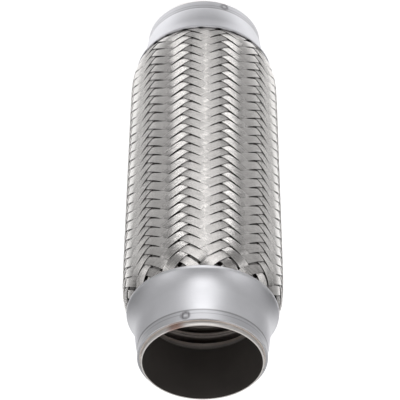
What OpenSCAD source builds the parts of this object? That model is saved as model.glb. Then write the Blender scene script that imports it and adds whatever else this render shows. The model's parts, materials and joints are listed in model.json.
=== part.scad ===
// Exhaust flex pipe: a thin steel bellows inside a woven steel braid, with an
// inner sleeve and a pressed end cap welded over the ends at each mouth.
// The pipe stands on its lower mouth, its axis along Z.

/* [Pipe] */
// Overall length, mouth to mouth
pipe_length = 202; // [150:1:300]
// Bore of the two mouths
bore_d = 51; // [40:0.5:70]

/* [Inner sleeves] */
// Wall of the inner sleeves
sleeve_wall = 0.7; // [0.5:0.05:1.2]
// Straight length of a sleeve, from its mouth to its flared end
sleeve_straight = 26; // [20:0.5:28]
// Bend radius of the sleeve's flared end, on its inner face
sleeve_flare_r = 12; // [8:0.5:14]
// Angle through which the sleeve's end flares outwards
sleeve_flare_angle = 25; // [5:1:30]

/* [End caps] */
// Wall of the end caps
cap_wall = 0.8; // [0.6:0.05:1.2]
// Length of sleeve that stands out of the cap's rim
cap_setback = 2; // [1:0.1:4]
// Depth of the ends of the bellows and the braid inside the cap's rim
lap_recess = 0.2; // [0.1:0.05:1]
// Length of the neck, from the rim to the shoulder
neck_length = 4.8; // [4.6:0.1:7]
// Length of the shoulder above the neck
shoulder_length = 2.3; // [1.5:0.1:4]
// Rise of the shoulder
shoulder_rise = 0.75; // [0.4:0.05:1.2]
// Length of the cone above the shoulder
cone_length = 7; // [5:0.5:9]
// Rise of the cone
cone_rise = 0.85; // [0.4:0.05:1.4]
// Radius of the trumpet curve that opens to the lip, on its outer face
flare_r = 19; // [15:0.5:22]
// Bend radius at the lip, on its outer face
lip_bend_r = 1.6; // [1.3:0.1:2.5]
// Length of the straight band at the lip
lip_band = 0.6; // [0.3:0.1:2]
// Depth of the lip's outer face inside the braid's full radius
lip_inset = 2.35; // [1.8:0.05:3]

/* [Spot welds] */
// Spot welds around each neck
weld_count = 3; // [2:1:6]
// Diameter of the ring that a weld leaves
weld_d = 3.6; // [2.5:0.1:4.2]
// Width of that ring
weld_ring = 0.7; // [0.4:0.1:1]
// Depth of that ring
weld_depth = 0.2; // [0.1:0.05:0.3]
// Direction of the first weld on the upper neck
upper_weld_angle = -74.6; // [-180:0.1:180]
// Direction of the first weld on the lower neck
lower_weld_angle = -110.4; // [-180:0.1:180]

/* [Bellows] */
// Wall of the bellows
bellows_wall = 0.3; // [0.2:0.05:0.4]
// Spacing of the waves
wave_pitch = 5.8; // [5:0.1:8]
// Height of a wave, from the inside of a root to the outside of a crest
wave_height = 5.8; // [5:0.1:7]
// Least distance from a mouth to the first wave
wave_start = 31; // [30:0.5:36]
// Straight length of the cuff in the neck
cuff_length = 12; // [8:0.5:13]
// Length over which the cuff widens to the bellows' roots
cuff_taper = 9; // [7:0.5:12]

/* [Braid] */
// Ribbons of wire that run each way round the pipe
carriers = 24; // [16:2:32]
// Distance along the pipe from one ribbon to the next
pick = 5.39; // [5:0.01:8]
// Width of a ribbon
ribbon_width = 4.1; // [3.5:0.1:4.5]
// Wall of the braid, over two crossing ribbons
braid_wall = 0.9; // [0.7:0.05:1.2]
// Wall of the braid where it is pressed flat in the neck
braid_end_wall = 0.25; // [0.2:0.05:0.4]
// Depth of the grooves and pits between ribbons
groove_depth = 0.5; // [0.3:0.05:0.6]
// Length over which the braid swells out from the lip
braid_swell = 4.5; // [3.5:0.1:5]
// Turn of the weave about the pipe's axis
weave_turn = 17.65; // [0:0.05:30]

/* [Clearances] */
// Gap between the layers that are lapped in the neck
lap_gap = 0.05; // [0.03:0.01:0.1]
// Gap between the braid and the cap's trumpet curve
seat_gap = 0.3; // [0.28:0.01:0.4]
// Gap between the sleeve's flared end and the bellows' roots
root_gap = 0.6; // [0.3:0.1:1]
// Gap between the bellows' crests and the braid at mid length
crest_gap = 0.9; // [0.8:0.05:1.2]

/* [Hidden] */
$fn = 96;
sleeve_colour = [0.80, 0.78, 0.75];
bellows_colour = [0.46, 0.44, 0.42];
braid_colour = [0.74, 0.72, 0.70];
cap_colour = [0.76, 0.76, 0.79];

// Layers of the neck, from the bore outwards
bore_r = bore_d / 2;
sleeve_r = bore_r + sleeve_wall;
cuff_in = sleeve_r + lap_gap;
cuff_r = cuff_in + bellows_wall;
columns = 2 * carriers;
facet_share = cos(180 / columns);
braid_end_in = cuff_r / facet_share + lap_gap;
braid_end_r = braid_end_in + braid_end_wall;
neck_in = braid_end_r + lap_gap;

// Radii of the waves and of the braid at mid length
flare_end_r = bore_r + sleeve_flare_r - (sleeve_flare_r - sleeve_wall) * cos(sleeve_flare_angle);
root_in = flare_end_r + root_gap;
crest_r = root_in + wave_height;
braid_r = crest_r + crest_gap + braid_wall;
lip_in = braid_r - lip_inset - cap_wall;

// Points on a bend that starts at a point, turning from one slope to another
bend_steps = 10;
function bend(start, radius, slope_0, slope_1) = [
    for (i = [1:bend_steps])
        let (slope = slope_0 + (slope_1 - slope_0) * i / bend_steps)
        start + sign(slope_1 - slope_0) * radius
            * [cos(slope_0) - cos(slope), sin(slope) - sin(slope_0)]
];

// A line of points moved sideways by a distance, with mitred corners
function slope_of(a, b) = atan2(b[0] - a[0], b[1] - a[1]);
function moved(line, distance) = [
    for (i = [0:len(line) - 1])
        let (
            before = slope_of(line[max(i - 1, 0)], line[max(i, 1)]),
            after = slope_of(line[min(i, len(line) - 2)], line[min(i + 1, len(line) - 1)]),
            mean = (before + after) / 2,
            reach = distance / cos((after - before) / 2)
        )
        line[i] + reach * [cos(mean), -sin(mean)]
];
function reversed(line) = [for (i = [len(line) - 1:-1:0]) line[i]];

// Inner face of an end cap as points of radius and height above its mouth
cone_slope = atan2(cone_rise, cone_length);
cone_top = [neck_in + shoulder_rise + cone_rise, cap_setback + neck_length + shoulder_length + cone_length];
trumpet_in = flare_r + cap_wall;
lip_bend_in = lip_bend_r - cap_wall;
lip_slope = acos((trumpet_in * cos(cone_slope) + lip_bend_in - (lip_in - cone_top[0]))
    / (trumpet_in + lip_bend_in));
trumpet = bend(cone_top, trumpet_in, cone_slope, lip_slope);
lip_turn = bend(trumpet[bend_steps - 1], lip_bend_in, lip_slope, 0);
lip_height = lip_turn[bend_steps - 1][1] + lip_band;
shoulder_line = [
    [neck_in, cap_setback + neck_length],
    [neck_in + shoulder_rise, cap_setback + neck_length + shoulder_length],
    cone_top
];
cap_line = concat(
    [[neck_in, cap_setback]],
    shoulder_line,
    trumpet,
    lip_turn,
    [[lip_in, lip_height]]
);

module at_top() {
    translate([0, 0, pipe_length])
        mirror([0, 0, 1])
            children();
}

module inner_sleeve() {
    rotate_extrude() {
        translate([bore_r, 0])
            square([sleeve_wall, sleeve_straight]);
        translate([bore_r + sleeve_flare_r, sleeve_straight])
            intersection() {
                difference() {
                    circle(sleeve_flare_r);
                    circle(sleeve_flare_r - sleeve_wall);
                }
                polygon([
                    [0, 0],
                    [-2 * sleeve_flare_r, 0],
                    2 * sleeve_flare_r * [-cos(sleeve_flare_angle), sin(sleeve_flare_angle)]
                ]);
            }
    }
}

module weld_marks(first_angle) {
    weld_height = cap_setback + neck_length / 2;
    for (i = [0:weld_count - 1])
        rotate([0, 0, first_angle + i * 360 / weld_count])
            translate([neck_in + cap_wall - weld_depth, 0, weld_height])
                rotate([0, 90, 0])
                    difference() {
                        cylinder(d = weld_d, h = cap_wall);
                        translate([0, 0, -cap_wall])
                            cylinder(d = weld_d - 2 * weld_ring, h = 3 * cap_wall);
                    }
}

module end_cap(first_angle) {
    difference() {
        rotate_extrude()
            polygon(concat(cap_line, reversed(moved(cap_line, cap_wall))));
        weld_marks(first_angle);
    }
}

// Bellows: waves with round crests and roots, spread evenly about mid length
waves = floor((pipe_length - 2 * wave_start) / wave_pitch);
first_root = pipe_length / 2 - waves * wave_pitch / 2;
wave_mid = wave_pitch / 4;
root_centre = root_in + wave_mid + bellows_wall / 2;
crest_centre = crest_r - wave_mid - bellows_wall / 2;
lap_start = cap_setback + lap_recess;

// One face of the waves, filled from the pipe's axis: grow is 1 for the outer face, -1 for the inner
module wave_face(grow) {
    half_wall = grow * bellows_wall / 2;
    difference() {
        union() {
            translate([0, first_root])
                square([root_centre, waves * wave_pitch]);
            for (i = [0:waves - 1])
                translate([0, first_root + (i + 0.5) * wave_pitch]) {
                    translate([0, -wave_mid - half_wall])
                        square([crest_centre, 2 * (wave_mid + half_wall)]);
                    translate([crest_centre, 0])
                        circle(wave_mid + half_wall);
                }
        }
        for (i = [0:waves])
            translate([root_centre, first_root + i * wave_pitch])
                circle(wave_mid - half_wall);
    }
}

module wave_tube() {
    rotate_extrude()
        difference() {
            wave_face(1);
            wave_face(-1);
        }
}

// Plain end of the bellows, from the neck up to the first root
module cuff() {
    cuff_line = [
        [cuff_in, lap_start],
        [cuff_in, lap_start + cuff_length],
        [root_in, lap_start + cuff_length + cuff_taper],
        [root_in, first_root]
    ];
    rotate_extrude()
        polygon(concat(cuff_line, reversed([for (p = cuff_line) p + [bellows_wall, 0]])));
}

// Radius and wall of the braid at a height above the lower mouth
seat = [for (p = cap_line) [p[1], p[0]]];
cone_height = cone_top[1];
function end_distance(z) = min(z, pipe_length - z);
function seat_clear(s) = lookup(s, [[cone_height, lap_gap], [lip_height, seat_gap]]);
function swell(s) = exp(-(s - lip_height) / braid_swell);
function braid_face(z) =
    let (s = end_distance(z))
    s < lip_height
        ? lookup(s, seat) - seat_clear(s)
        : braid_r - (lip_inset + cap_wall + seat_gap) * swell(s);
function braid_thick(z) = lookup(end_distance(z), [[cone_height, braid_end_wall], [lip_height, braid_wall]]);

// The weave: crossings lie on a grid of columns round the pipe and rows along it.
// A ribbon passes over two crossings, then under two, so the ribbons that show
// lean one way in two columns and the other way in the next two.
lip_cover = 0.3;
periods = columns / 4;
weave_rows = ceil((pipe_length - 2 * (lip_height - lip_cover) + pick) / pick);
function row_z(row) = pipe_length / 2 + (row - weave_rows + 0.5) * pick / 2;
function on_braid(column, row, depth) =
    let (z = row_z(row), angle = weave_turn + column * 360 / columns, r = braid_face(z) - depth)
    [r * cos(angle), r * sin(angle), z];
ring_step = 2 * PI * braid_r / carriers;
ribbon_spacing = ring_step * pick / norm([ring_step, pick]);
ribbon_half = ribbon_width / ribbon_spacing / 2;
ribbon_end = 0.82;
RIGHT = 0;
LEFT = 1;

// Place of a point on a ribbon, along it and across it, as column and row
function ribbon_place(lean, period, row, along, across) =
    lean == RIGHT
        ? [4 * period + 0.5 + along - across, 2 * row + 0.5 + along + across]
        : [4 * period + 2.5 + along + across, 2 * row - 0.5 - along + across];

ribbon_corners = [
    [-ribbon_end, -ribbon_half], [ribbon_end, -ribbon_half],
    [ribbon_end, ribbon_half], [-ribbon_end, ribbon_half]
];
pit_corners = [[-1, -0.5], [0, -0.5], [1, -0.5], [1, 0.5], [0, 0.5], [-1, 0.5]];

pit_points = [
    for (row = [-2:2 * weave_rows])
        for (i = [0:carriers - 1])
            on_braid(2 * i + (abs(row) % 2 == 0 ? 1 : 0), row, groove_depth)
];
ribbon_points = [
    for (lean = [RIGHT, LEFT])
        for (period = [0:periods - 1])
            for (row = [0:weave_rows - 1])
                for (corner = ribbon_corners)
                    let (place = ribbon_place(lean, period, row, corner[0], corner[1]))
                    on_braid(place[0], place[1], 0)
];
function pit_index(column, row) =
    (row + 2) * carriers + floor(((column + columns) % columns) / 2);
function ribbon_index(lean, period, row) =
    len(pit_points) + ((lean * periods + period) * weave_rows + row) * 4;

// Triangles of one raised ribbon length between its six pits, corners first
ribbon_triangles = [
    [0, 2, 1], [0, 3, 2],
    [4, 0, 5], [5, 0, 1], [5, 1, 6],
    [6, 2, 7], [6, 1, 2],
    [7, 2, 8], [8, 2, 3], [8, 3, 9],
    [9, 0, 4], [9, 3, 0]
];
function ribbon_faces(lean, period, row) =
    let (
        top = ribbon_index(lean, period, row),
        pits = [
            for (c = pit_corners)
                let (place = ribbon_place(lean, period, row, c[0], c[1]))
                pit_index(place[0], place[1])
        ],
        all = concat([top, top + 1, top + 2, top + 3], pits)
    )
    [for (t = ribbon_triangles) [for (i = t) all[i]]];

// Plain rings of the braid: outer ones in the caps, inner ones all the way
weave_end = row_z(-2);
weave_lead = 0.6;
ring_z_low = concat([lap_start], [for (p = shoulder_line) p[1]], [weave_end - weave_lead]);
ring_z_high = [for (i = [len(ring_z_low) - 1:-1:0]) pipe_length - ring_z_low[i]];
swell_steps = [0, 0.6, 1.2, 2, 3.2, 6];
lip_z_low = [for (k = swell_steps) lip_height + k * braid_swell];
lip_z_high = [for (i = [len(lip_z_low) - 1:-1:0]) pipe_length - lip_z_low[i]];
inner_z = concat(ring_z_low, lip_z_low, lip_z_high, ring_z_high);

function ring(z, r) = [
    for (column = [0:columns - 1])
        let (angle = weave_turn + column * 360 / columns)
        [r * cos(angle), r * sin(angle), z]
];
function ring_band(low, high) = [
    for (column = [0:columns - 1])
        let (next = (column + 1) % columns)
        each [[low[column], high[next], low[next]], [low[column], high[column], high[next]]]
];
function run(first) = [for (column = [0:columns - 1]) first + column];

outer_low_at = len(pit_points) + len(ribbon_points);
outer_high_at = outer_low_at + len(ring_z_low) * columns;
inner_at = outer_high_at + len(ring_z_high) * columns;
braid_points = concat(
    pit_points,
    ribbon_points,
    [for (z = ring_z_low) each ring(z, braid_face(z))],
    [for (z = ring_z_high) each ring(z, braid_face(z))],
    [for (z = inner_z) each ring(z, braid_face(z) - braid_thick(z))]
);

// The ragged ends of the weave, one pit to a column
low_edge = [for (column = [0:columns - 1]) pit_index(column, [-1, 0, -1, -2][column % 4])];
high_edge = [for (column = [0:columns - 1]) pit_index(column, 2 * weave_rows - 2 + [1, 2, 1, 0][column % 4])];
outer_low = [for (i = [0:len(ring_z_low) - 1]) run(outer_low_at + i * columns)];
outer_high = [for (i = [0:len(ring_z_high) - 1]) run(outer_high_at + i * columns)];
inner = [for (i = [0:len(inner_z) - 1]) run(inner_at + i * columns)];
outer_rings = concat(outer_low, [low_edge]);
outer_rings_high = concat([high_edge], outer_high);
braid_faces = concat(
    [
        for (lean = [RIGHT, LEFT])
            for (period = [0:periods - 1])
                for (row = [0:weave_rows - 1])
                    each ribbon_faces(lean, period, row)
    ],
    [for (i = [0:len(outer_rings) - 2]) each ring_band(outer_rings[i], outer_rings[i + 1])],
    [for (i = [0:len(outer_rings_high) - 2]) each ring_band(outer_rings_high[i], outer_rings_high[i + 1])],
    [for (i = [0:len(inner) - 2]) each ring_band(inner[i + 1], inner[i])],
    ring_band(inner[0], outer_rings[0]),
    ring_band(outer_rings_high[len(outer_rings_high) - 1], inner[len(inner) - 1])
);

module lower_inner_sleeve() {
    color(sleeve_colour)
        inner_sleeve();
}

module upper_inner_sleeve() {
    color(sleeve_colour)
        at_top()
            inner_sleeve();
}

module bellows() {
    color(bellows_colour)
        union() {
            wave_tube();
            cuff();
            at_top()
                cuff();
        }
}

module braid() {
    color(braid_colour)
        polyhedron(braid_points, braid_faces);
}

module lower_end_cap() {
    color(cap_colour)
        end_cap(lower_weld_angle);
}

module upper_end_cap() {
    color(cap_colour)
        at_top()
            end_cap(upper_weld_angle);
}

lower_inner_sleeve();
upper_inner_sleeve();
bellows();
braid();
lower_end_cap();
upper_end_cap();
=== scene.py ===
"""Looks of an exhaust flex pipe: spun caps and sleeves, a bellows and a braid of wire ribbons."""

import json
import math
import random

import bmesh
import bpy
import numpy as np
from mathutils import Matrix, Vector


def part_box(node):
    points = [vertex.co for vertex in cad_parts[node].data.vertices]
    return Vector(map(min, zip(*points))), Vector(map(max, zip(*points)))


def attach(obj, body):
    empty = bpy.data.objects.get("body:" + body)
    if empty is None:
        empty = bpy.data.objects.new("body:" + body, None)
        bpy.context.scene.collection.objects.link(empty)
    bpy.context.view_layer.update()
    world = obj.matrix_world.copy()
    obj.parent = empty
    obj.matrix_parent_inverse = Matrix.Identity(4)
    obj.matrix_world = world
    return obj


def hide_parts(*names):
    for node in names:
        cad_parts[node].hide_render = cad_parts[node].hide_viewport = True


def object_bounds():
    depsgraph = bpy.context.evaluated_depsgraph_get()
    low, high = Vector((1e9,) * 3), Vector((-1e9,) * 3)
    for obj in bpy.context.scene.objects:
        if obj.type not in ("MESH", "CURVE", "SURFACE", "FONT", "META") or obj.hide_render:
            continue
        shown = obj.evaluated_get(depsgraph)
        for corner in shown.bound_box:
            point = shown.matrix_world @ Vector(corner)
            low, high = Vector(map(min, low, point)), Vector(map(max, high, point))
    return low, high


bl_info = {
    "name": "Exhaust flex pipe",
    "version": (1, 0, 0),
    "blender": (4, 5, 0),
    "location": "View3D > Sidebar > Flex pipe",
    "description": "Dresses the solids of an exhaust flex pipe",
    "category": "Object",
}

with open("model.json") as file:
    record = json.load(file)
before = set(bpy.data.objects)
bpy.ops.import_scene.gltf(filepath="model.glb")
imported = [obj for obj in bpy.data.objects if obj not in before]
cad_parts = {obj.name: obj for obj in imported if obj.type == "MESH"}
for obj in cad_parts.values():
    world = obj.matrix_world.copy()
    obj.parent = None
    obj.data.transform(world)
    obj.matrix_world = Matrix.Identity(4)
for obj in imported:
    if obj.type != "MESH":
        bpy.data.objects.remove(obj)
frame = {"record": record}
CAD_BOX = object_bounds()
MM = 0.001
PHOTO_PIXELS = 400
SENSOR_WIDTH = 36.0
BUMP_DISTANCE = 0.2 * MM
MIX_SHARE, MIX_FIRST, MIX_SECOND, MIX_RESULT = 0, 6, 7, 2  # sockets of a Mix node for colours
SLEEVE_FACETS = 160
CAP_FACETS = 192
HIDDEN_FACETS = 96


def record_mount(name):
    """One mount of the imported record."""
    return next(mount for mount in frame["record"]["mounts"] if mount["name"] == name)


PIPE_LENGTH = CAD_BOX[1].z
BORE_RADIUS = record_mount("upper_mouth")["dims"]["r_mm"] * MM
BRAID_RADIUS = max(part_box("braid")[1].xy)
LIP_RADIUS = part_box("upper_end_cap")[1].x
CAP_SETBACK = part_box("lower_end_cap")[0].z
LIP_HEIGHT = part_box("lower_end_cap")[1].z


def length_prop(label, text, default):
    """A length in metres."""
    return bpy.props.FloatProperty(
        name=label,
        description=text,
        default=default,
        precision=5,
        subtype="DISTANCE",
        unit="LENGTH",
    )


def angle_prop(label, text, degrees):
    """An angle, given in degrees."""
    return bpy.props.FloatProperty(
        name=label,
        description=text,
        default=math.radians(degrees),
        subtype="ANGLE",
        unit="ROTATION",
    )


def colour_prop(label, text, default):
    """A colour of a finish."""
    return bpy.props.FloatVectorProperty(
        name=label, description=text, default=default, size=3, min=0, max=1, subtype="COLOR"
    )


def share_prop(label, text, default):
    """A plain number, such as a roughness or a level of light."""
    return bpy.props.FloatProperty(name=label, description=text, default=default, min=0)


def count_prop(label, text, default):
    """A number of things."""
    return bpy.props.IntProperty(name=label, description=text, default=default, min=1)


class SleeveSettings(bpy.types.PropertyGroup):
    """Sizes and finish of the two inner sleeves."""

    wall: length_prop("Wall", "Wall of a sleeve", 0.7 * MM)
    straight: length_prop("Straight length", "From the mouth to the flared end", 26 * MM)
    flare_radius: length_prop("Flare radius", "Bend radius of the flared end, inside", 12 * MM)
    flare_angle: angle_prop("Flare angle", "Turn of the flared end", 25)
    edge: length_prop("Edge", "Rounding of the cut edges", 0.1 * MM)
    steel: colour_prop("Steel", "Colour of the bright outside and rim", (0.80, 0.77, 0.74))
    # The bore is drawn dark: painted shade.
    inside: colour_prop("Inside", "Colour of the dull bore", (0.11, 0.098, 0.091))
    # The flared end is drawn pale, to show as a bright ring down the bore: a painted highlight.
    flared: colour_prop("Flared end", "Colour of the flared end down the bore", (0.92, 0.82, 0.75))
    tint: colour_prop("Heat tint", "Colour beside a weld", (0.34, 0.16, 0.11))
    tint_direction: angle_prop("Tint direction", "Direction of the heat tint", -64)


class CapSettings(bpy.types.PropertyGroup):
    """Sizes and finish of the two pressed end caps."""

    wall: length_prop("Wall", "Wall of a cap", 0.8 * MM)
    recess: length_prop("Recess", "Depth of the lapped ends inside the rim", 0.2 * MM)
    neck: length_prop("Neck", "Length from the rim to the shoulder", 4.8 * MM)
    neck_radius: length_prop("Neck radius", "Inner radius of the neck", 26.957 * MM)
    shoulder: length_prop("Shoulder", "Length of the shoulder", 2.3 * MM)
    shoulder_rise: length_prop("Shoulder rise", "Rise of the shoulder", 0.75 * MM)
    cone: length_prop("Cone", "Length of the cone", 7 * MM)
    cone_rise: length_prop("Cone rise", "Rise of the cone", 0.85 * MM)
    flare_radius: length_prop("Flare radius", "Radius of the trumpet curve, outside", 19 * MM)
    lip_radius: length_prop("Lip radius", "Bend radius at the lip, outside", 1.6 * MM)
    edge: length_prop("Edge", "Rounding of the cut edges", 0.12 * MM)
    scribe: length_prop("Scribe", "Distance of the neck's turning line from the fold", 1.8 * MM)
    weld_count: count_prop("Spot welds", "Spot welds around each neck", 3)
    weld_diameter: length_prop("Weld diameter", "Diameter of the ring that a weld leaves", 3.6 * MM)
    weld_ring: length_prop("Weld ring", "Width of that ring", 0.7 * MM)
    weld_depth: length_prop("Weld depth", "Depth of that ring", 0.2 * MM)
    upper_weld: angle_prop("Upper weld", "Direction of the first upper weld", -74.6)
    lower_weld: angle_prop("Lower weld", "Direction of the first lower weld", -110.4)
    steel: colour_prop("Steel", "Colour of the satin steel", (0.79, 0.79, 0.82))
    # Real stain on the weld rings; painted shade along the fold and along a fine groove on the
    # neck.
    stain_and_shade: colour_prop("Stain", "Colour of the weld rings and the fold", (0.17, 0.16, 0.17))


class BellowsSettings(bpy.types.PropertyGroup):
    """Sizes and finish of the bellows."""

    wall: length_prop("Wall", "Wall of the bellows", 0.3 * MM)
    pitch: length_prop("Pitch", "Spacing of the waves", 5.8 * MM)
    height: length_prop("Height", "From the inside of a root to the outside of a crest", 5.8 * MM)
    root_gap: length_prop("Root gap", "Gap between the sleeve's flared end and the roots", 0.6 * MM)
    lap_gap: length_prop("Lap gap", "Gap between the lapped layers of the neck", 0.05 * MM)
    cuff: length_prop("Cuff", "Straight length of the cuff", 12 * MM)
    taper: length_prop("Taper", "Length over which the cuff widens", 9 * MM)
    waves: count_prop("Waves", "Number of waves", 24)
    steel: colour_prop("Steel", "Colour of the dull sheet", (0.90, 0.80, 0.74))
    # Painted shade: the sheet is drawn dark off the root crowns near the mouths and all further
    # down the bore.
    bore_shade: colour_prop("Soot", "Colour further down the bore", (0.34, 0.30, 0.28))
    # Depth at which that painted shade covers the crowns too.
    bore_shade_start: length_prop("Soot start", "Depth at which the sheet turns dark", 38.5 * MM)


class BraidSettings(bpy.types.PropertyGroup):
    """Sizes and finish of the woven braid."""

    carriers: count_prop("Ribbons", "Ribbons that run each way round the pipe", 24)
    wires: count_prop("Wires", "Wires that show side by side in a ribbon", 8)
    pick: length_prop("Pick", "Distance along the pipe from one ribbon to the next", 5.39 * MM)
    width: length_prop("Ribbon width", "Width of a ribbon", 3.98 * MM)
    thickness: length_prop("Ribbon thickness", "Thickness of a ribbon", 0.44 * MM)
    wall: length_prop("Wall", "Wall of the braid over two ribbons", 0.9 * MM)
    groove: length_prop("Groove", "Depth of the grooves between wires", 0.12 * MM)
    turn: angle_prop("Turn", "Turn of the weave about the axis", 17.65)
    shift: length_prop("Shift", "Shift of the weave along the axis", 0.95 * MM)
    swell: length_prop("Swell", "Length over which the braid swells from the lip", 4.5 * MM)
    seat_gap: length_prop("Seat gap", "Gap between the braid and the cap's curve", 0.3 * MM)
    loose: length_prop("Loose length", "Length beside a lip where the weave opens", 7 * MM)
    stretch: share_prop("Stretch", "How far the weave is drawn out at the lip", 0.5)
    float_taper: share_prop("Float taper", "Share by which a float widens to one end", 0.10)
    wander: length_prop("Wander", "Sideways wander of a ribbon", 0.12 * MM)
    wire: colour_prop("Wire", "Colour of the bright wire", (0.81, 0.787, 0.769))
    # Painted shade: the colour drawn on the ribbons' sides and undersides, in the grooves and on
    # the floats that pass under.
    painted_shade: colour_prop("Deep", "Colour down between the ribbons", (0.025, 0.022, 0.020))


class StageSettings(bpy.types.PropertyGroup):
    """Floor, lights and camera."""

    floor_radius: length_prop("Floor radius", "Radius of the floor", 9.0)
    floor: colour_prop("Floor", "Colour of the floor", (0.60, 0.60, 0.60))
    floor_glow: share_prop("Floor glow", "What is added so that the floor reads as white", 0.78)
    glow_inner: length_prop("Glow inner", "Half width of the white lane that metal mirrors", 0.105)
    glow_outer: length_prop("Glow outer", "Half width at which that lane has faded", 0.15)
    glow_spread: share_prop("Glow spread", "How fast that lane widens behind the pipe", 0.7)
    glow_front: length_prop("Glow front", "Where that lane fades in front of the pipe", 0.0222)
    dim: share_prop("Dim", "Level of the dim parts of the surroundings", 0.06)
    raised: share_prop("Raised", "Level of the pale areas ahead, raised on both sides", 1.4)
    sides: share_prop("Sides", "Level of the low pale areas at the sides", 0.7)
    overhead: share_prop("Overhead", "Level overhead", 0.85)
    key: share_prop("Key light", "Radiance of the main soft light", 3.0)
    key_width: length_prop("Key width", "Width of the main soft light", 0.84)
    key_height: length_prop("Key height", "Height of the main soft light", 0.34)
    key_distance: length_prop("Key distance", "Distance of the main soft light", 1.4)
    panel: share_prop("Panel", "Radiance of the soft light that lies on the floor in front", 0.8)
    panel_near: length_prop("Panel near", "Distance of that light's near end", 0.08)
    panel_width: length_prop("Panel width", "Width of that light", 0.42)
    focal_pixels: share_prop("Focal length", "Focal length in pixels of the photograph", 1718.19)
    tilt: angle_prop("Tilt", "Angle between the view and the pipe's axis", 47.557)
    mouth_distance: length_prop("Mouth distance", "Depth of the near mouth in the view", 726.2 * MM)
    mouth_x: share_prop("Mouth across", "Pixel of the near mouth's centre, across", 202.5)
    mouth_y: share_prop("Mouth down", "Pixel of the near mouth's centre, down", 363.2)
    lean: angle_prop("Lean", "Lean of the pipe to the right in the picture", 0.4)


class PipeSettings(bpy.types.PropertyGroup):
    """All settings of the pipe."""

    sleeves: bpy.props.PointerProperty(type=SleeveSettings)
    caps: bpy.props.PointerProperty(type=CapSettings)
    bellows: bpy.props.PointerProperty(type=BellowsSettings)
    braid: bpy.props.PointerProperty(type=BraidSettings)
    stage: bpy.props.PointerProperty(type=StageSettings)


def settings():
    """The pipe's settings in the scene."""
    return bpy.context.scene.flex_pipe


# Shader maths


class Number:
    """A value in a shader. Arithmetic on it adds Math nodes."""

    def __init__(self, finish, socket):
        self.finish = finish
        self.socket = socket

    def math(self, operation, *values):
        """Adds one Math node."""
        made = self.finish.node("ShaderNodeMath", {"operation": operation}, dict(enumerate(values)))
        return Number(self.finish, made.outputs[0])

    def __add__(self, other):
        return self.math("ADD", self, other)

    __radd__ = __add__

    def __sub__(self, other):
        return self.math("SUBTRACT", self, other)

    def __rsub__(self, other):
        return self.math("SUBTRACT", other, self)

    def __mul__(self, other):
        return self.math("MULTIPLY", self, other)

    __rmul__ = __mul__

    def __pow__(self, other):
        return self.math("POWER", self, other)

    def __abs__(self):
        return self.math("ABSOLUTE", self)


class Finish:
    """A material, or the world, built node by node."""

    def __init__(self, owner):
        owner.use_nodes = True
        self.owner = owner
        self.tree = owner.node_tree
        self.tree.nodes.clear()

    def node(self, kind, choices, sockets):
        """Adds a node, sets its choices first, then fills its sockets with values or links."""
        made = self.tree.nodes.new(kind)
        for key, value in choices.items():
            setattr(made, key, value)
        for key, value in sockets.items():
            if isinstance(value, Number):
                self.tree.links.new(value.socket, made.inputs[key])
            elif isinstance(value, bpy.types.NodeSocket):
                self.tree.links.new(value, made.inputs[key])
            else:
                made.inputs[key].default_value = value
        return made

    def number(self, socket):
        """A socket's value as a number."""
        return Number(self, socket)

    def axes(self, vector):
        """The three parts of a vector as numbers."""
        made = self.node("ShaderNodeSeparateXYZ", {}, {0: vector})
        return [self.number(axis) for axis in made.outputs]

    def place(self):
        """Object coordinates: the three axes as numbers, and the vector."""
        vector = self.node("ShaderNodeTexCoord", {}, {}).outputs["Object"]
        return self.axes(vector), vector

    def ray(self, kind):
        """1 for rays of a kind, 0 for others."""
        return self.number(self.node("ShaderNodeLightPath", {}, {}).outputs[f"Is {kind} Ray"])

    def attribute(self, name):
        """A number kept on the mesh's points."""
        made = self.node("ShaderNodeAttribute", {"attribute_name": name}, {})
        return self.number(made.outputs["Fac"])

    def vector(self, x, y, z):
        """Three numbers as one vector."""
        return self.node("ShaderNodeCombineXYZ", {}, {0: x, 1: y, 2: z}).outputs[0]

    def noise(self, vector, scale, detail=3.0, rough=0.5):
        """Soft noise from 0 to 1."""
        sockets = {"Vector": vector, "Scale": scale, "Detail": detail, "Roughness": rough}
        return self.number(self.node("ShaderNodeTexNoise", {}, sockets).outputs["Fac"])

    def step(self, value, low, high):
        """Rises smoothly from 0 to 1 as the value goes from low to high."""
        sockets = {"Value": value, "From Min": low, "From Max": high}
        made = self.node("ShaderNodeMapRange", {"interpolation_type": "SMOOTHSTEP"}, sockets)
        return self.number(made.outputs["Result"])

    def mix(self, share, first, second):
        """A colour between two colours."""
        sockets = {MIX_SHARE: share, MIX_FIRST: opaque(first), MIX_SECOND: opaque(second)}
        return self.node("ShaderNodeMix", {"data_type": "RGBA"}, sockets).outputs[MIX_RESULT]

    def scaled(self, colour, level):
        """A colour made lighter or darker by a number."""
        choices = {"data_type": "RGBA", "blend_type": "MULTIPLY"}
        grey = self.vector(level, level, level)
        sockets = {MIX_SHARE: 1.0, MIX_FIRST: opaque(colour), MIX_SECOND: grey}
        return self.node("ShaderNodeMix", choices, sockets).outputs[MIX_RESULT]

    def bump(self, height, strength, normal=None):
        """A normal that follows fine relief."""
        sockets = {"Height": height, "Strength": strength, "Distance": BUMP_DISTANCE}
        if normal is not None:
            sockets["Normal"] = normal
        return self.node("ShaderNodeBump", {}, sockets).outputs[0]

    def metal(self, colour, roughness, normal, metallic=1.0):
        """Ends the material in a plain metal surface."""
        sockets = {
            "Base Color": colour,
            "Metallic": metallic,
            "Roughness": roughness,
            "Normal": normal,
        }
        surface = self.node("ShaderNodeBsdfPrincipled", {}, sockets).outputs[0]
        self.node("ShaderNodeOutputMaterial", {}, {"Surface": surface})
        return self.owner


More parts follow.
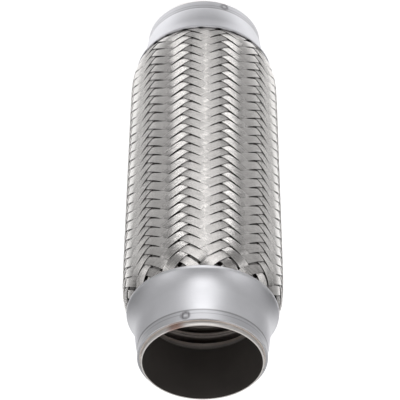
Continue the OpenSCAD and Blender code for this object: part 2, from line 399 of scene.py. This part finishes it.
def opaque(colour):
    """A plain colour with full alpha; a link is passed on as it is."""
    return colour if isinstance(colour, bpy.types.NodeSocket) else (*colour, 1.0)


def new_finish(name):
    """An empty material to build on."""
    return Finish(bpy.data.materials.new(name))


def around_axis(axes):
    """Radius, direction and height of a place about the pipe's axis."""
    x, y, z = axes
    return (x * x + y * y) ** 0.5, x.math("ARCTAN2", y, x), z


def end_depth(z):
    """Distance of a height from the nearer mouth."""
    return z.math("MINIMUM", z, PIPE_LENGTH - z)


def spun_lines(finish, radius, angle, z, turns, fineness):
    """Noise drawn out round the axis, as a spun or drawn surface shows."""
    drawn = finish.vector(angle * turns, z * fineness, radius * fineness)
    return finish.noise(drawn, scale=1.0, detail=4.0)


def cap_finish(name, caps, weld_direction):
    """Satin pressed steel with soft smudges, turning lines and dull weld rings; painted shade along
    the fold, along a fine groove on the neck and over the neck.
    """
    finish = new_finish(name)
    axes, place = finish.place()
    radius, angle, z = around_axis(axes)
    depth = end_depth(z)
    lines = spun_lines(finish, radius, angle, z, turns=3.0, fineness=2600.0)
    smudge = finish.noise(place, scale=60.0, detail=5.0, rough=0.6)
    cloud = finish.step(finish.noise(place, scale=24.0, detail=2.0), 0.3, 0.7)
    grain = finish.noise(place, scale=1400.0, detail=2.0)
    sector = 2 * math.pi / caps.weld_count
    around = angle.math("WRAP", angle - (weld_direction - sector / 2), sector, 0.0) - sector / 2
    reach_x = around * (caps.neck_radius + caps.wall)
    reach_z = depth - (CAP_SETBACK + caps.neck / 2)
    reach = (reach_x * reach_x + reach_z * reach_z) ** 0.5
    from_ring = abs(reach - (caps.weld_diameter - caps.weld_ring) / 2)
    ring = 1 - finish.step(from_ring, 0.0, 1.9 * caps.weld_ring)
    ring = ring * (0.5 + 0.5 * finish.step(smudge, 0.3, 0.6))
    # The fold and a fine groove on the neck are drawn dark: painted shade, in the colour of the
    # weld rings' stain.
    fold_depth = CAP_SETBACK + caps.neck
    fold = 1 - finish.step(abs(depth - fold_depth), 0.1 * MM, 0.5 * MM)
    scribe = 1 - finish.step(abs(depth - fold_depth + caps.scribe), 0.05 * MM, 0.35 * MM)
    # Share of the stain-and-shade colour: real stain on the weld rings, painted shade on the fold
    # and the groove.
    dull = ring * 0.9 + (fold * 0.6 + scribe * 0.35) * (1 - ring)
    # The neck is drawn darker than the rest of the cap: painted shade.
    neck = 1 - finish.step(depth, fold_depth - 0.3 * MM, fold_depth)
    tone = 0.76 + 0.14 * cloud + 0.20 * smudge + 0.06 * lines - 0.18 * neck
    colour = finish.mix(dull, finish.scaled(caps.steel, tone), caps.stain_and_shade)
    roughness = 0.37 + 0.12 * smudge + 0.06 * lines + 0.06 * ring
    normal = finish.bump(grain, strength=0.08, normal=finish.bump(lines, strength=0.10))
    return finish.metal(colour, roughness, normal)


def sleeve_finish(sleeves):
    """Bright drawn tube outside; in the bore, dark as painted shade, with a pale flared end as a
    painted highlight; tinted by heat beside a weld.
    """
    finish = new_finish("sleeve_steel")
    axes, place = finish.place()
    radius, angle, z = around_axis(axes)
    rim = finish.step(radius, BORE_RADIUS + 0.02 * MM, BORE_RADIUS + 0.12 * MM)
    flare = finish.step(end_depth(z), sleeves.straight + 0.5 * MM, sleeves.straight + 4 * MM)
    bright_rim = rim * (1 - flare)
    lines = spun_lines(finish, radius, angle, z, turns=2.0, fineness=3000.0)
    smudge = finish.noise(place, scale=90.0, detail=4.0)
    away = abs(angle - sleeves.tint_direction)
    blotch = (1 - finish.step(away, 0.03, 0.22)) * (0.5 + 0.5 * smudge)
    bright = finish.scaled(sleeves.steel, 0.88 + 0.16 * lines + 0.08 * smudge)
    tinted = finish.mix(blotch, bright, sleeves.tint)
    # Painted shade in the bore, and a painted highlight ring on the pale flared end.
    dark = finish.scaled(sleeves.inside, 0.8 + 0.4 * smudge)
    inside = finish.mix(flare, dark, sleeves.flared)
    colour = finish.mix(bright_rim, inside, tinted)
    roughness = 0.30 + 0.10 * lines + 0.22 * (1 - flare - bright_rim)
    metallic = 0.35 * (1 - flare) + 0.65 * bright_rim
    normal = finish.bump(lines, strength=0.12)
    return finish.metal(colour, roughness, normal, metallic)


def bellows_finish(bellows, sleeves):
    """Dull formed sheet: pale on the crowns of the roots near the mouths as a painted highlight,
    dark elsewhere and further down the bore as painted shade.
    """
    finish = new_finish("bellows_steel")
    axes, place = finish.place()
    radius, angle, z = around_axis(axes)
    lines = spun_lines(finish, radius, angle, z, turns=2.0, fineness=2000.0)
    smudge = finish.noise(place, scale=70.0, detail=4.0)
    # Pale root crowns near the mouths are a painted highlight; the dark sheet elsewhere and further
    # down is painted shade.
    above_root = radius - root_radius(sleeves, bellows)
    down = finish.step(end_depth(z), bellows.bore_shade_start, bellows.bore_shade_start + 3 * MM)
    painted_highlight = (1 - finish.step(above_root, 0.02 * MM, 0.16 * MM)) * (1 - down)
    sheet = finish.mix(painted_highlight, bellows.bore_shade, bellows.steel)
    colour = finish.scaled(sheet, 0.75 + 0.35 * smudge + 0.15 * lines)
    roughness = 0.34 + 0.14 * smudge
    metallic = 0.4 * (1 - painted_highlight)
    normal = finish.bump(lines, strength=0.1)
    return finish.metal(colour, roughness, normal, metallic)


def braid_finish(braid):
    """Bright drawn wire with streaks along the wires; painted shade on the ribbons' sides and
    undersides, in the grooves between wires and on the floats that pass under.
    """
    finish = new_finish("braid_wire")
    # Share of painted shade kept on the mesh points: sides, undersides, grooves and floats that
    # pass under.
    painted_shade = finish.attribute("painted_shade")
    tone = finish.attribute("tone")
    strand = finish.node("ShaderNodeUVMap", {"uv_map": "strand"}, {}).outputs[0]
    along, across, _ = finish.axes(strand)
    streak_place = finish.vector(along * 60.0, across * 2600.0, tone * 40.0)
    streak = finish.noise(streak_place, scale=1.0, detail=3.0)
    patch_place = finish.vector(along * 180.0, across * 300.0, tone * 70.0)
    patch = finish.noise(patch_place, scale=1.0, detail=2.0)
    level = 0.80 + 0.12 * tone + 0.20 * streak + 0.08 * patch
    colour = finish.mix(painted_shade, finish.scaled(braid.wire, level), braid.painted_shade)
    roughness = 0.17 + 0.08 * streak + 0.04 * patch
    normal = finish.bump(streak, strength=0.2)
    return finish.metal(colour, roughness, normal)


# Profiles, as points of radius and height


def bend(start, radius, slope_0, slope_1, steps):
    """Points on a bend that turns from one slope to another."""
    side = math.copysign(radius, slope_1 - slope_0)
    slopes = [slope_0 + (slope_1 - slope_0) * i / steps for i in range(1, steps + 1)]
    return [
        (
            start[0] + side * (math.cos(slope_0) - math.cos(slope)),
            start[1] + side * (math.sin(slope) - math.sin(slope_0)),
        )
        for slope in slopes
    ]


def moved(line, distance):
    """A line of points moved sideways, with mitred corners."""
    slopes = [math.atan2(b[0] - a[0], b[1] - a[1]) for a, b in zip(line, line[1:])]
    shifted = []
    for i, (r, z) in enumerate(line):
        before = slopes[max(i - 1, 0)]
        after = slopes[min(i, len(slopes) - 1)]
        mean = (before + after) / 2
        reach = distance / math.cos((after - before) / 2)
        shifted.append((r + reach * math.cos(mean), z - reach * math.sin(mean)))
    return shifted


def wall_profile(line, wall):
    """The closed outline of a wall whose inner face is the line."""
    return line + moved(line, wall)[::-1]


def upside_down(profile):
    """The same outline at the pipe's upper end."""
    return [(r, PIPE_LENGTH - z) for r, z in profile]


def cap_line(caps, steps=16):
    """Inner face of an end cap, from its rim to its lip."""
    shoulder_start = CAP_SETBACK + caps.neck
    cone_start = shoulder_start + caps.shoulder
    cone_top = (caps.neck_radius + caps.shoulder_rise + caps.cone_rise, cone_start + caps.cone)
    cone_slope = math.atan2(caps.cone_rise, caps.cone)
    flare_in = caps.flare_radius + caps.wall
    lip_in = caps.lip_radius - caps.wall
    rise = LIP_RADIUS - caps.wall - cone_top[0]
    lip_slope = math.acos((flare_in * math.cos(cone_slope) + lip_in - rise) / (flare_in + lip_in))
    flare = bend(cone_top, flare_in, cone_slope, lip_slope, steps)
    lip = bend(flare[-1], lip_in, lip_slope, 0, steps // 2)
    return [
        (caps.neck_radius, CAP_SETBACK),
        (caps.neck_radius, shoulder_start),
        (caps.neck_radius + caps.shoulder_rise, cone_start),
        cone_top,
        *flare,
        *lip,
        (lip[-1][0], LIP_HEIGHT),
    ]


def sleeve_line(sleeves, steps=8):
    """Inner face of a sleeve, from its mouth to its flared end."""
    corner = (BORE_RADIUS, sleeves.straight)
    flare = bend(corner, sleeves.flare_radius, 0, sleeves.flare_angle, steps)
    return [(BORE_RADIUS, 0.0), corner, *flare]


def root_radius(sleeves, bellows):
    """Inner radius of the bellows' roots, clear of the sleeve's flared end."""
    turned = (sleeves.flare_radius - sleeves.wall) * math.cos(sleeves.flare_angle)
    return BORE_RADIUS + sleeves.flare_radius - turned + bellows.root_gap


def bellows_line(bellows, sleeves, caps, steps=4):
    """Inner face of the bellows, cuff to cuff."""
    cuff_radius = BORE_RADIUS + sleeves.wall + bellows.lap_gap
    cuff_start = CAP_SETBACK + caps.recess
    root = root_radius(sleeves, bellows)
    first_root = PIPE_LENGTH / 2 - bellows.waves * bellows.pitch / 2
    root_bend = bellows.pitch / 4 + bellows.wall / 2
    crest_bend = bellows.pitch / 4 - bellows.wall / 2
    straight = bellows.height - bellows.wall - root_bend - crest_bend
    cuff = [
        (cuff_radius, cuff_start),
        (cuff_radius, cuff_start + bellows.cuff),
        (root, cuff_start + bellows.cuff + bellows.taper),
        (root, first_root),
    ]
    line = list(cuff)
    quarter = math.pi / 2
    for _ in range(bellows.waves):
        line += bend(line[-1], root_bend, 0, quarter, steps)
        line.append((line[-1][0] + straight, line[-1][1]))
        line += bend(line[-1], crest_bend, quarter, -quarter, 2 * steps)
        line.append((line[-1][0] - straight, line[-1][1]))
        line += bend(line[-1], root_bend, -quarter, 0, steps)
    return line + upside_down(cuff[:-1])[::-1]


# Modelling


def deselect():
    """Leaves edit mode and selects nothing."""
    if bpy.context.object and bpy.context.object.mode != "OBJECT":
        bpy.ops.object.mode_set(mode="OBJECT")
    bpy.ops.object.select_all(action="DESELECT")


def spun_piece(name, profile, facets):
    """Draws a closed profile by extruding a point, and spins it round the pipe's axis."""
    deselect()
    bpy.ops.mesh.primitive_plane_add(size=MM)
    piece = bpy.context.object
    piece.name = piece.data.name = name
    bpy.ops.object.mode_set(mode="EDIT")
    bpy.ops.mesh.merge(type="CENTER")
    start = (profile[0][0], 0, profile[0][1])
    bpy.ops.transform.translate(value=start)
    for before, after in zip(profile, profile[1:]):
        step = (after[0] - before[0], 0, after[1] - before[1])
        bpy.ops.mesh.extrude_vertices_move(TRANSFORM_OT_translate={"value": step})
    mesh = bmesh.from_edit_mesh(piece.data)
    for vertex in mesh.verts:
        vertex.select = len(vertex.link_edges) == 1
    bpy.ops.mesh.edge_face_add()
    bpy.ops.mesh.select_all(action="SELECT")
    bpy.ops.mesh.spin(steps=facets, angle=2 * math.pi, center=(0, 0, 0), axis=(0, 0, 1))
    bpy.ops.mesh.select_all(action="SELECT")
    bpy.ops.mesh.remove_doubles(threshold=0.004 * MM)
    bpy.ops.mesh.normals_make_consistent(inside=False)
    bpy.ops.object.mode_set(mode="OBJECT")
    return piece


def round_edges(piece, width):
    """Rounds the cut edges and sets smooth shading."""
    rounding = piece.modifiers.new("edges", "BEVEL")
    rounding.width = width
    rounding.segments = 2
    rounding.limit_method = "ANGLE"
    rounding.angle_limit = math.radians(50)
    bpy.ops.object.modifier_apply(modifier=rounding.name)
    smooth(piece, degrees=15)


def smooth(piece, degrees):
    """Shades a piece smooth, apart from edges sharper than an angle."""
    deselect()
    piece.select_set(True)
    bpy.context.view_layer.objects.active = piece
    bpy.ops.object.shade_smooth_by_angle(angle=math.radians(degrees))


def sink_weld_rings(piece, caps, first_direction, height):
    """Presses the rings of the spot welds into the outside of a neck."""
    outer = caps.neck_radius + caps.wall
    least_radius = outer - 0.7 * caps.wall
    middle = (caps.weld_diameter - caps.weld_ring) / 2
    for i in range(caps.weld_count):
        direction = first_direction + i * 2 * math.pi / caps.weld_count
        centre = Vector((outer * math.cos(direction), outer * math.sin(direction), height))
        subdivide_near(piece, centre, 0.8 * caps.weld_diameter, least_radius)
        outward = Vector((math.cos(direction), math.sin(direction), 0))
        for vertex in piece.data.vertices:
            offset = vertex.co - centre
            if offset.length < caps.weld_diameter and vertex.co.xy.length > least_radius:
                reach = (offset - offset.dot(outward) * outward).length
                share = max(0.0, 1 - abs(reach - middle) / (0.75 * caps.weld_ring))
                vertex.co -= outward * caps.weld_depth * share * share * (3 - 2 * share)


def subdivide_near(piece, centre, reach, least_radius):
    """Splits the outer faces near a point into small ones."""
    bpy.context.view_layer.objects.active = piece
    bpy.ops.object.mode_set(mode="EDIT")
    bpy.ops.mesh.select_mode(type="FACE")
    bpy.ops.mesh.select_all(action="DESELECT")
    mesh = bmesh.from_edit_mesh(piece.data)
    for face in mesh.faces:
        middle = face.calc_center_median()
        face.select_set((middle - centre).length < reach and middle.xy.length > least_radius)
    bpy.ops.mesh.subdivide(number_cuts=5)
    bpy.ops.mesh.select_mode(type="VERT")
    bpy.ops.object.mode_set(mode="OBJECT")


def hand_over(piece, finish, slot, *nodes):
    """Gives a piece its finish and its place in the frame, instead of nodes of the solids."""
    piece.data.materials.clear()
    piece.data.materials.append(finish)
    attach(piece, "root")
    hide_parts(*nodes)


# The braid

HIDDEN_LENGTH = 2.5 * MM
TAIL_GAP = 0.05 * MM
TAIL_WALL = 0.25 * MM
STATIONS_PER_ROW = 4
LATTICE_MARGIN = 4 * MM
LATTICE_HEIGHTS = 4001
RIBBON_SEED = 4


class Weave:
    """The lattice of the weave: columns round the pipe and rows along it."""

    def __init__(self, braid, caps):
        self.braid = braid
        self.columns = 2 * braid.carriers
        self.column_angle = 2 * math.pi / self.columns
        self.seat = np.array(cap_line(caps))
        self.lip_gap = BRAID_RADIUS - (LIP_RADIUS - caps.wall) + braid.seat_gap
        self.hidden_end = LIP_HEIGHT - HIDDEN_LENGTH
        lowest = self.hidden_end - LATTICE_MARGIN
        heights = np.linspace(lowest, PIPE_LENGTH - lowest, LATTICE_HEIGHTS)
        nearness = (LIP_HEIGHT + braid.loose - self.end_distance(heights)) / braid.loose
        nearness = np.clip(nearness, 0, 1.2)
        density = 1 / (braid.pick / 2 * (1 + braid.stretch * nearness**2))
        middle = PIPE_LENGTH / 2 + braid.shift
        gained = (density[1:] + density[:-1]) / 2 * np.diff(heights)
        rows = np.concatenate([[0], np.cumsum(gained)])
        self.heights = heights
        self.rows = rows - np.interp(middle, heights, rows) + 0.5

    @staticmethod
    def end_distance(z):
        """Distance of a height from the nearer mouth."""
        return np.minimum(z, PIPE_LENGTH - z)

    def row_at(self, z):
        """Row of the lattice at a height."""
        return np.interp(z, self.heights, self.rows)

    def height_at(self, row):
        """Height of a row of the lattice."""
        return np.interp(row, self.rows, self.heights)

    def slope_at(self, row):
        """Height gained from one row to the next."""
        step = 0.05
        return (self.height_at(row + step) - self.height_at(row - step)) / (2 * step)

    def face_at(self, z):
        """Radius of the braid's outer face at a height."""
        distance = self.end_distance(z)
        free = BRAID_RADIUS - self.lip_gap * np.exp(-(distance - LIP_HEIGHT) / self.braid.swell)
        seated = np.interp(distance, self.seat[:, 1], self.seat[:, 0]) - self.braid.seat_gap
        return np.where(distance < LIP_HEIGHT, seated, free)

    @staticmethod
    def over(phase):
        """From 1 on the floats that pass over to -1 on those that pass under."""
        wave = np.sin(math.pi / 2 * phase)
        softness = 0.35
        return wave * np.sqrt((1 + softness**2) / (wave**2 + softness**2))


def ribbon_section(braid):
    """Closed outline of a ribbon, wires on top: place across, height and painted shade, full on the
    sides and underside and partial in the grooves.
    """
    spacing = braid.width / braid.wires
    flat = 0.22 * spacing
    inset = 0.15 * spacing
    side = braid.width / 2
    half = braid.thickness / 2
    # The sides and underside carry full painted shade; the grooves between wires carry partial
    # painted shade.
    points = [(-side, 0.0, 1.0)]
    for i in range(braid.wires):
        middle = (i + 0.5) * spacing - side
        points += [(middle - flat, half, 0.0), (middle + flat, half, 0.0)]
        if i < braid.wires - 1:
            points.append((middle + 0.5 * spacing, half - braid.groove, 0.35))
    points += [(side, 0.0, 1.0), (side - inset, -half, 1.0), (inset - side, -half, 1.0)]
    return np.array(points + points[:1])


def laid(weave, lean, index, rows, section, chance):
    """Places of a ribbon's points round the pipe, their places across it, and the painted shade on
    them.
    """
    braid = weave.braid
    across, lift, dark = section
    wave_length = chance.uniform(7, 13)
    wave_start = chance.uniform(0, 2 * math.pi)
    float_phase = math.pi / 2 * (2 * index + lean * rows + 0.5)
    across = across * (1 - braid.float_taper * np.cos(float_phase))
    across = across + braid.wander * np.sin(rows / wave_length * 2 * math.pi + wave_start)
    angle = braid.turn + (2 * index + lean * rows) * weave.column_angle
    z = weave.height_at(rows)
    slope = weave.slope_at(rows)
    face = weave.face_at(z)
    around = lean * face * weave.column_angle
    run = np.hypot(around, slope)
    angle = angle - across * slope / run / face
    z = z + across * around / run
    row = weave.row_at(z)
    column = (angle - braid.turn) / weave.column_angle
    phase = index + (column + lean * row) / 2 + 0.5
    over = lean * weave.over(phase)
    swing = (braid.wall - braid.thickness) / 2
    radius = weave.face_at(z) - braid.thickness / 2 - swing + swing * over + lift
    places = np.column_stack([radius * np.cos(angle), radius * np.sin(angle), z])
    # Floats that pass under get painted shade as well, added to the painted shade of the outline.
    sunk = 0.8 * np.clip((-0.05 - over) / 0.7, 0, 1)
    return places, across, 1 - (1 - dark) * (1 - sunk)


def ribbon(name, weave, lean, index, chance):
    """One ribbon from lip to lip, over two and under two."""
    section = ribbon_section(weave.braid)
    first = weave.row_at(weave.hidden_end)
    last = weave.row_at(PIPE_LENGTH - weave.hidden_end)
    stations = int(STATIONS_PER_ROW * (last - first))
    deselect()
    sides = len(section) - 1
    bpy.ops.mesh.primitive_grid_add(x_subdivisions=stations, y_subdivisions=sides, size=2)
    piece = bpy.context.object
    piece.name = piece.data.name = name
    mesh = piece.data
    flat = np.empty(len(mesh.vertices) * 3)
    mesh.vertices.foreach_get("co", flat)
    along, about, _ = (flat.reshape(-1, 3).T + 1) / 2
    rows = first + along * (last - first)
    part = np.rint(about * sides).astype(int)
    places, across, painted_shade = laid(weave, lean, index, rows, section[part].T, chance)
    mesh.vertices.foreach_set("co", places.ravel())
    # Keeps the painted shade on the points, for the finish.
    keep_number(mesh, "painted_shade", painted_shade)
    keep_number(mesh, "tone", np.full(len(rows), chance.random()))
    keep_strand(mesh, rows * weave.braid.pick, across)
    bpy.ops.object.mode_set(mode="EDIT")
    bpy.ops.mesh.select_all(action="SELECT")
    bpy.ops.mesh.remove_doubles(threshold=0.002 * MM)
    bpy.ops.mesh.fill_holes(sides=0)
    bpy.ops.mesh.normals_make_consistent(inside=False)
    bpy.ops.object.mode_set(mode="OBJECT")
    bpy.ops.object.shade_smooth_by_angle(angle=math.radians(60))
    return piece


def keep_number(mesh, name, values):
    """Keeps a number for each point of a mesh."""
    kept = mesh.attributes.new(name, "FLOAT", "POINT")
    kept.data.foreach_set("value", values.astype(np.float32))


def keep_strand(mesh, along, across):
    """Keeps the places along and across a ribbon as its texture coordinates."""
    strand = mesh.uv_layers[0]
    strand.name = "strand"
    corners = np.empty(len(mesh.loops), dtype=np.int64)
    mesh.loops.foreach_get("vertex_index", corners)
    strand.data.foreach_set("uv", np.column_stack([along, across])[corners].ravel())


def joined(pieces, name):
    """One piece out of several."""
    deselect()
    for piece in pieces:
        piece.select_set(True)
    bpy.context.view_layer.objects.active = pieces[0]
    bpy.ops.object.join()
    whole = bpy.context.object
    whole.name = whole.data.name = name
    return whole


def tail_profile(weave, caps):
    """Outline of the braid's pressed end, from inside the rim to under the lip."""
    start = CAP_SETBACK + caps.recess
    line = [(caps.neck_radius, start)]
    line += [point for point in weave.seat.tolist() if start < point[1] < weave.hidden_end + MM]
    outer = [(r - TAIL_GAP - TAIL_WALL * (z / LIP_HEIGHT) ** 3, z) for r, z in line]
    return [(r - TAIL_WALL, z) for r, z in outer] + outer[::-1]


class FLEXPIPE_OT_inner_sleeves(bpy.types.Operator):
    """Adds the inner sleeve of each mouth"""

    bl_idname = "flexpipe.inner_sleeves"
    bl_label = "Inner sleeves"

    def execute(self, context):
        sleeves = settings().sleeves
        finish = sleeve_finish(sleeves)
        profile = wall_profile(sleeve_line(sleeves), sleeves.wall)
        for end, outline in (("lower", profile), ("upper", upside_down(profile))):
            piece = spun_piece(f"{end}_sleeve_tube", outline, SLEEVE_FACETS)
            round_edges(piece, sleeves.edge)
            hand_over(piece, finish, "sleeve_steel", f"{end}_inner_sleeve")
        return {"FINISHED"}


class FLEXPIPE_OT_bellows(bpy.types.Operator):
    """Adds the bellows"""

    bl_idname = "flexpipe.bellows"
    bl_label = "Bellows"

    def execute(self, context):
        pipe = settings()
        line = bellows_line(pipe.bellows, pipe.sleeves, pipe.caps)
        piece = spun_piece("bellows_tube", wall_profile(line, pipe.bellows.wall), HIDDEN_FACETS)
        smooth(piece, degrees=40)
        hand_over(piece, bellows_finish(pipe.bellows, pipe.sleeves), "bellows_steel", "bellows")
        return {"FINISHED"}


class FLEXPIPE_OT_braid(bpy.types.Operator):
    """Adds the ribbons of the braid and its pressed ends"""

    bl_idname = "flexpipe.braid"
    bl_label = "Braid"

    def execute(self, context):
        pipe = settings()
        weave = Weave(pipe.braid, pipe.caps)
        finish = braid_finish(pipe.braid)
        chance = random.Random(RIBBON_SEED)
        for side, lean in (("right", 1), ("left", -1)):
            ribbons = [
                ribbon(f"ribbon_{side}_{index}", weave, lean, index, chance)
                for index in range(pipe.braid.carriers)
            ]
            for half in (0, 1):
                piece = joined(ribbons[half::2], f"braid_{side}_ribbons_{half + 1}")
                hand_over(piece, finish, "braid_wire", "braid")
        profile = tail_profile(weave, pipe.caps)
        for end, outline in (("lower", profile), ("upper", upside_down(profile))):
            piece = spun_piece(f"{end}_braid_tail", outline, HIDDEN_FACETS)
            smooth(piece, degrees=40)
            hand_over(piece, finish, "braid_wire", "braid")
        return {"FINISHED"}


class FLEXPIPE_OT_end_caps(bpy.types.Operator):
    """Adds the pressed end caps"""

    bl_idname = "flexpipe.end_caps"
    bl_label = "End caps"

    def execute(self, context):
        caps = settings().caps
        profile = wall_profile(cap_line(caps), caps.wall)
        weld_height = CAP_SETBACK + caps.neck / 2
        ends = (
            ("lower", profile, caps.lower_weld, weld_height),
            ("upper", upside_down(profile), caps.upper_weld, PIPE_LENGTH - weld_height),
        )
        for end, outline, direction, height in ends:
            piece = spun_piece(f"{end}_cap_shell", outline, CAP_FACETS)
            round_edges(piece, caps.edge)
            sink_weld_rings(piece, caps, direction, height)
            smooth(piece, degrees=15)
            finish = cap_finish(f"{end}_cap_steel", caps, direction)
            hand_over(piece, finish, "cap_steel", f"{end}_end_cap")
        return {"FINISHED"}


def floor_finish(stage):
    """Pale floor that keeps shadows and reads as white; metal mirrors only a lane as white."""
    finish = new_finish("floor_paint")
    axes, place = finish.place()
    mottle = finish.noise(place, scale=3.0)
    colour = finish.scaled(stage.floor, 0.99 + 0.02 * mottle)
    paint = finish.node("ShaderNodeBsdfDiffuse", {}, {"Color": colour}).outputs[0]
    off = abs(axes[0]) - stage.glow_spread * axes[1].math("MAXIMUM", axes[1], 0.0)
    lane = 1 - finish.step(off, stage.glow_inner, stage.glow_outer)
    behind = finish.step(axes[1], -1.8 * stage.glow_front, -stage.glow_front)
    seen = finish.ray("Camera") + finish.ray("Transmission")
    mirrored = finish.ray("Glossy") * lane * behind
    strength = (seen + mirrored) * stage.floor_glow
    glow = finish.node("ShaderNodeEmission", {}, {"Strength": strength}).outputs[0]
    surface = finish.node("ShaderNodeAddShader", {}, {0: paint, 1: glow}).outputs[0]
    finish.node("ShaderNodeOutputMaterial", {}, {"Surface": surface})
    return finish.owner


def paint_surround(stage):
    """Dim surroundings with pale areas: raised ahead, low beside, and overhead."""
    world = bpy.data.worlds.new("surround")
    bpy.context.scene.world = world
    finish = Finish(world)
    x, y, z = finish.axes(finish.node("ShaderNodeTexCoord", {}, {}).outputs["Generated"])
    turn = x.math("ARCTAN2", abs(x), 0 - y)

    def past(degrees):
        """Rises from 0 to 1 where the direction passes an angle from straight ahead."""
        return finish.step(turn, math.radians(degrees - 5), math.radians(degrees + 5))

    ahead, beside, behind = past(35), past(61), past(92)
    high = finish.step(z, 0.10, 0.25)
    top = finish.step(z, 0.4, 0.62)
    above = finish.step(z, 0.66, 0.86)
    raised = ahead * (1 - beside) * high * (1 - above) * stage.raised
    sides = beside * (1 - behind) * (1 - high) * stage.sides
    overhead = (beside * top * (1 - above) + above) * stage.overhead
    seen = finish.ray("Camera")
    level = seen + (1 - seen) * (stage.dim + raised + sides + overhead)
    sockets = {"Color": (1.0, 1.0, 1.0, 1.0), "Strength": level}
    surface = finish.node("ShaderNodeBackground", {}, sockets).outputs[0]
    finish.node("ShaderNodeOutputWorld", {}, {"Surface": surface})


def soft_light(name, shape, place, aim, width, height, radiance):
    """A soft light that faces a point, hidden from the camera."""
    area = width * height * (math.pi / 4 if shape == "ELLIPSE" else 1)
    bpy.ops.object.light_add(type="AREA", location=place)
    lamp = bpy.context.object
    lamp.name = lamp.data.name = name
    lamp.data.shape = shape
    lamp.data.size, lamp.data.size_y = width, height
    lamp.data.energy = radiance * math.pi * area
    lamp.rotation_euler = (Vector(aim) - Vector(place)).to_track_quat("-Z", "Y").to_euler()
    lamp.visible_camera = False


def add_camera(stage):
    """The photograph's view, with the upper mouth nearest and at the foot of the picture."""
    sine, cosine = math.sin(stage.tilt), math.cos(stage.tilt)
    ahead = Vector((0, sine, -cosine))
    roll = Matrix.Rotation(-stage.lean, 3, ahead)
    right = roll @ Vector((-1, 0, 0))
    down = roll @ Vector((0, cosine, sine))
    scale = stage.mouth_distance / stage.focal_pixels
    across = (stage.mouth_x - PHOTO_PIXELS / 2) * scale
    below = (stage.mouth_y - PHOTO_PIXELS / 2) * scale
    mouth = Vector((0, 0, PIPE_LENGTH))
    place = mouth - across * right - below * down - stage.mouth_distance * ahead
    bpy.ops.object.camera_add()
    camera = bpy.context.object
    camera.name = camera.data.name = "camera"
    turned = Matrix((right, -down, -ahead)).transposed().to_4x4()
    camera.matrix_world = Matrix.Translation(place) @ turned
    camera.data.sensor_width = SENSOR_WIDTH
    camera.data.lens = stage.focal_pixels / PHOTO_PIXELS * SENSOR_WIDTH
    camera.data.clip_start, camera.data.clip_end = 0.01, 100
    bpy.context.scene.camera = camera


class FLEXPIPE_OT_stage(bpy.types.Operator):
    """Adds the floor, the surroundings, the soft lights and the camera"""

    bl_idname = "flexpipe.stage"
    bl_label = "Stage"

    def execute(self, context):
        stage = settings().stage
        deselect()
        bpy.ops.mesh.primitive_circle_add(vertices=96, radius=stage.floor_radius, fill_type="NGON")
        floor = bpy.context.object
        floor.name = floor.data.name = "floor"
        floor.data.materials.append(floor_finish(stage))
        paint_surround(stage)
        far, near = stage.key_distance, stage.panel_near
        middle = stage.key_height / 2
        place, aim = (0, -far, middle), (0, 0, middle)
        soft_light("key", "RECTANGLE", place, aim, stage.key_width, stage.key_height, stage.key)
        place, aim = (0, -(far + near) / 2, 2 * MM), (0, -(far + near) / 2, 1)
        soft_light("panel", "ELLIPSE", place, aim, stage.panel_width, far - near, stage.panel)
        add_camera(stage)
        context.scene.view_settings.view_transform = "Standard"
        return {"FINISHED"}


OPERATORS = (
    FLEXPIPE_OT_stage,
    FLEXPIPE_OT_inner_sleeves,
    FLEXPIPE_OT_bellows,
    FLEXPIPE_OT_braid,
    FLEXPIPE_OT_end_caps,
)


class FLEXPIPE_PT_panel(bpy.types.Panel):
    """Lists the steps that dress the pipe"""

    bl_idname = "FLEXPIPE_PT_panel"
    bl_label = "Flex pipe"
    bl_space_type = "VIEW_3D"
    bl_region_type = "UI"
    bl_category = "Flex pipe"

    def draw(self, context):
        for operator in OPERATORS:
            self.layout.operator(operator.bl_idname)


CLASSES = (
    SleeveSettings,
    CapSettings,
    BellowsSettings,
    BraidSettings,
    StageSettings,
    PipeSettings,
    *OPERATORS,
    FLEXPIPE_PT_panel,
)


def register():
    """Makes the classes and the settings known to Blender."""
    for each in CLASSES:
        bpy.utils.register_class(each)
    bpy.types.Scene.flex_pipe = bpy.props.PointerProperty(type=PipeSettings)


def unregister():
    """Takes them away again."""
    del bpy.types.Scene.flex_pipe
    for each in reversed(CLASSES):
        bpy.utils.unregister_class(each)


def main():
    """Builds the stage and the pipe."""
    register()
    bpy.ops.flexpipe.stage()
    bpy.ops.flexpipe.inner_sleeves()
    bpy.ops.flexpipe.bellows()
    bpy.ops.flexpipe.braid()
    bpy.ops.flexpipe.end_caps()


if __name__ == "__main__":
    main()
